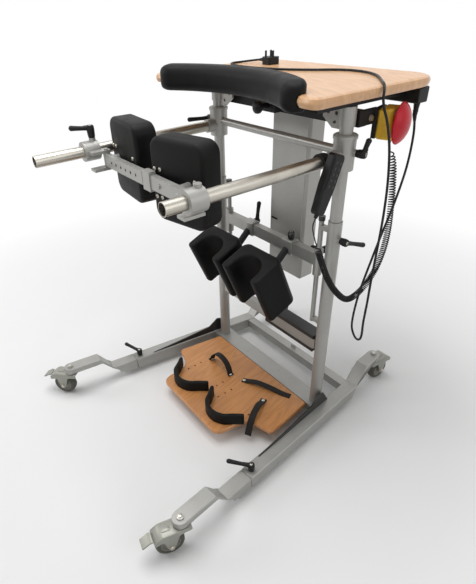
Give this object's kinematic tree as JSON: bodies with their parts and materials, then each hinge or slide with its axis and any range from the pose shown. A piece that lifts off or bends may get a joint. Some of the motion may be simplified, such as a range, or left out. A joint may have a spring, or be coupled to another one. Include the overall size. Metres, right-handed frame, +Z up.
{
  "type": "patient standing aid",
  "caption": "Wheeled standing frame: splayed legs, telescopic uprights, wooden tray and footplate, handrails, swing-open hip pads, knee cups, lift column and stop button.",
  "frame": {"origin": "on the floor, at the middle of the outline seen from above, cords left out", "axes": "+X to the right of the person standing in it, +Y the way that person faces, +Z up"},
  "size_m": [0.9784, 1.2122, 1.1883],
  "materials": {
    "silver_paint": "satin silver-grey powder coat on welded steel tube",
    "satin_steel": "bright satin stainless steel",
    "caster_silver": "silver pressed steel",
    "black_plastic": "matte black moulded plastic",
    "black_steel": "black powder coat",
    "black_foam": "black skinned foam, slightly matte",
    "black_webbing": "black webbing",
    "cord_black": "black rubber sheath",
    "wheel_grey": "grey rubber tread",
    "beech": "clear lacquered beech plywood",
    "stop_yellow": "glossy yellow plastic",
    "stop_red": "glossy red plastic"
  },
  "bodies": {
    "base": {"left_leg": "silver_paint", "right_leg": "silver_paint", "rear_cross_tube": "silver_paint", "footplate_carrier": "silver_paint", "left_upright": "silver_paint", "right_upright": "silver_paint", "lower_crossbar": "silver_paint", "footplate": "beech", "left_heel_cup": "black_foam", "right_heel_cup": "black_foam", "left_strap": "black_webbing", "middle_strap": "black_webbing", "right_strap": "black_webbing"},
    "left_front_leg": {"left_front_leg": "silver_paint"},
    "right_front_leg": {"right_front_leg": "silver_paint"},
    "upper_frame": {"left_inner_tube": "silver_paint", "right_inner_tube": "silver_paint", "head_beam": "black_steel", "lift_column": "silver_paint", "stop_box": "stop_yellow", "coil_cord": "cord_black"},
    "tray": {"tray_top": "beech", "tray_pad": "black_foam", "tray_frame": "black_steel", "mains_cord": "cord_black", "mains_plug": "black_plastic"},
    "handrails": {"handrail_frame": "silver_paint", "left_handrail": "satin_steel", "right_handrail": "satin_steel", "handset": "black_plastic"},
    "hip_carriage": {"left_hip_clamp": "silver_paint", "right_hip_clamp": "silver_paint"},
    "left_hip_arm": {"left_hip_arm": "silver_paint", "left_hip_pad": "black_foam"},
    "right_hip_arm": {"right_hip_arm": "silver_paint", "right_hip_pad": "black_foam"},
    "knee_bar": {"knee_bar": "silver_paint"},
    "left_knee": {"left_knee_pad": "black_foam"},
    "right_knee": {"right_knee_pad": "black_foam"},
    "stop_button": {"stop_button": "stop_red"},
    "tray_knob": {"tray_knob": "black_plastic"},
    "left_leg_lever": {"left_leg_lever": "black_plastic"},
    "right_leg_lever": {"right_leg_lever": "black_plastic"},
    "upright_lever": {"upright_lever": "black_plastic"},
    "left_collar_lever": {"left_collar_lever": "black_plastic"},
    "right_collar_lever": {"right_collar_lever": "black_plastic"},
    "hip_lever": {"hip_lever": "black_plastic"},
    "left_knee_lever": {"left_knee_lever": "black_plastic"},
    "right_knee_lever": {"right_knee_lever": "black_plastic"},
    "knee_height_lever": {"knee_height_lever": "black_plastic"},
    "left_front_caster_swivel": {"left_front_caster_fork": "caster_silver"},
    "left_front_caster_wheel": {"left_front_caster_wheel": "wheel_grey"},
    "right_front_caster_swivel": {"right_front_caster_fork": "caster_silver"},
    "right_front_caster_wheel": {"right_front_caster_wheel": "wheel_grey"},
    "left_rear_caster_swivel": {"left_rear_caster_fork": "caster_silver"},
    "left_rear_caster_wheel": {"left_rear_caster_wheel": "wheel_grey"},
    "right_rear_caster_swivel": {"right_rear_caster_fork": "caster_silver"},
    "right_rear_caster_wheel": {"right_rear_caster_wheel": "wheel_grey"},
    "left_front_caster_pedal": {"left_front_caster_pedal": "caster_silver"},
    "right_front_caster_pedal": {"right_front_caster_pedal": "caster_silver"}
  },
  "joints": [
    {"name": "left_leg_extend", "type": "slide", "parent": "base", "child": "left_front_leg", "axis": [-0.1219, -0.9925, 0], "range_m": [0, 0.12]},
    {"name": "right_leg_extend", "type": "slide", "parent": "base", "child": "right_front_leg", "axis": [0.1219, -0.9925, 0], "range_m": [0, 0.12]},
    {"name": "left_leg_lever_turn", "type": "hinge", "parent": "base", "child": "left_leg_lever", "pos_m": [-0.34208, -0.1906, 0.07], "axis": [0, 0, 1], "range_deg": [-60, 60]},
    {"name": "right_leg_lever_turn", "type": "hinge", "parent": "base", "child": "right_leg_lever", "pos_m": [0.4127, -0.1906, 0.07], "axis": [0, 0, 1], "range_deg": [-60, 60]},
    {"name": "left_front_caster_swivel", "type": "hinge", "parent": "left_front_leg", "child": "left_front_caster_swivel", "pos_m": [-0.37791, -0.48241, 0], "axis": [0, 0, 1], "continuous": true},
    {"name": "left_front_caster_roll", "type": "hinge", "parent": "left_front_caster_swivel", "child": "left_front_caster_wheel", "pos_m": [-0.40763, -0.50917, 0.045], "axis": [0.6691, -0.7431, 0], "continuous": true},
    {"name": "left_front_caster_brake", "type": "hinge", "parent": "left_front_caster_swivel", "child": "left_front_caster_pedal", "pos_m": [-0.44427, -0.54216, 0.092], "axis": [0.6691, -0.7431, 0], "range_deg": [0, 12]},
    {"name": "right_front_caster_swivel", "type": "hinge", "parent": "right_front_leg", "child": "right_front_caster_swivel", "pos_m": [0.44853, -0.48241, 0], "axis": [0, 0, 1], "continuous": true},
    {"name": "right_front_caster_roll", "type": "hinge", "parent": "right_front_caster_swivel", "child": "right_front_caster_wheel", "pos_m": [0.43954, -0.52138, 0.045], "axis": [0.9744, -0.225, 0], "continuous": true},
    {"name": "right_front_caster_brake", "type": "hinge", "parent": "right_front_caster_swivel", "child": "right_front_caster_pedal", "pos_m": [0.42845, -0.56942, 0.092], "axis": [0.9744, -0.225, 0], "range_deg": [0, 12]},
    {"name": "left_rear_caster_swivel", "type": "hinge", "parent": "base", "child": "left_rear_caster_swivel", "pos_m": [-0.25506, 0.51808, 0], "axis": [0, 0, 1], "continuous": true},
    {"name": "left_rear_caster_roll", "type": "hinge", "parent": "left_rear_caster_swivel", "child": "left_rear_caster_wheel", "pos_m": [-0.25506, 0.55808, 0.045], "axis": [-1, 0, 0], "continuous": true},
    {"name": "right_rear_caster_swivel", "type": "hinge", "parent": "base", "child": "right_rear_caster_swivel", "pos_m": [0.32569, 0.51808, 0], "axis": [0, 0, 1], "continuous": true},
    {"name": "right_rear_caster_roll", "type": "hinge", "parent": "right_rear_caster_swivel", "child": "right_rear_caster_wheel", "pos_m": [0.32569, 0.55808, 0.045], "axis": [-1, 0, 0], "continuous": true},
    {"name": "height_lift", "type": "slide", "parent": "base", "child": "upper_frame", "axis": [0, 0, 1], "range_m": [-0.05, 0.12]},
    {"name": "upright_lever_turn", "type": "hinge", "parent": "base", "child": "upright_lever", "pos_m": [0.34251, 0.20443, 0.735], "axis": [1, 0, 0], "range_deg": [-40, 40]},
    {"name": "tray_slide", "type": "slide", "parent": "upper_frame", "child": "tray", "axis": [0, 1, 0], "range_m": [0, 0.06]},
    {"name": "tray_knob_turn", "type": "hinge", "parent": "upper_frame", "child": "tray_knob", "pos_m": [0.02131, 0.19213, 1.067], "axis": [0, -1, 0], "range_deg": [-180, 180]},
    {"name": "stop_press", "type": "slide", "parent": "upper_frame", "child": "stop_button", "axis": [-0.9563, -0.2924, 0], "range_m": [0, 0.006], "stiffness_N_per_m": 2500},
    {"name": "handrail_height", "type": "slide", "parent": "upper_frame", "child": "handrails", "axis": [0, 0, 1], "range_m": [-0.08, 0.008], "deforming": ["coil_cord"]},
    {"name": "left_collar_lever_turn", "type": "hinge", "parent": "handrails", "child": "left_collar_lever", "pos_m": [-0.27969, 0.20443, 0.986], "axis": [-1, 0, 0], "range_deg": [-60, 60]},
    {"name": "right_collar_lever_turn", "type": "hinge", "parent": "handrails", "child": "right_collar_lever", "pos_m": [0.34931, 0.21443, 0.986], "axis": [0.96, 0.28, 0], "range_deg": [-15, 60]},
    {"name": "hip_reach", "type": "slide", "parent": "handrails", "child": "hip_carriage", "axis": [0, 1, 0], "range_m": [-0.035, 0.1]},
    {"name": "left_hip_swing", "type": "hinge", "parent": "hip_carriage", "child": "left_hip_arm", "pos_m": [-0.20069, -0.24757, 0.95], "axis": [0, 0, -1], "range_deg": [0, 88]},
    {"name": "right_hip_swing", "type": "hinge", "parent": "hip_carriage", "child": "right_hip_arm", "pos_m": [0.27131, -0.24757, 0.95], "axis": [0, 0, 1], "range_deg": [0, 88]},
    {"name": "hip_lever_turn", "type": "hinge", "parent": "hip_carriage", "child": "hip_lever", "pos_m": [-0.24469, -0.26757, 1.01], "axis": [0, 0, 1], "range_deg": [-60, 60]},
    {"name": "knee_height", "type": "slide", "parent": "base", "child": "knee_bar", "axis": [0, 0, 1], "range_m": [-0.1, 0.06]},
    {"name": "left_knee_reach", "type": "slide", "parent": "knee_bar", "child": "left_knee", "axis": [-1, 0, 0], "range_m": [0, 0.04]},
    {"name": "right_knee_reach", "type": "slide", "parent": "knee_bar", "child": "right_knee", "axis": [1, 0, 0], "range_m": [0, 0.04]},
    {"name": "left_knee_lever_turn", "type": "hinge", "parent": "left_knee", "child": "left_knee_lever", "pos_m": [-0.07669, 0.22243, 0.655], "axis": [0, 1, 0], "range_deg": [-60, 60]},
    {"name": "right_knee_lever_turn", "type": "hinge", "parent": "right_knee", "child": "right_knee_lever", "pos_m": [0.13931, 0.20443, 0.6705], "axis": [0, 0, 1], "range_deg": [-60, 60]},
    {"name": "knee_height_lever_turn", "type": "hinge", "parent": "knee_bar", "child": "knee_height_lever", "pos_m": [0.26331, 0.21873, 0.669], "axis": [0, 1, 0], "range_deg": [-45, 45]}
  ]
}
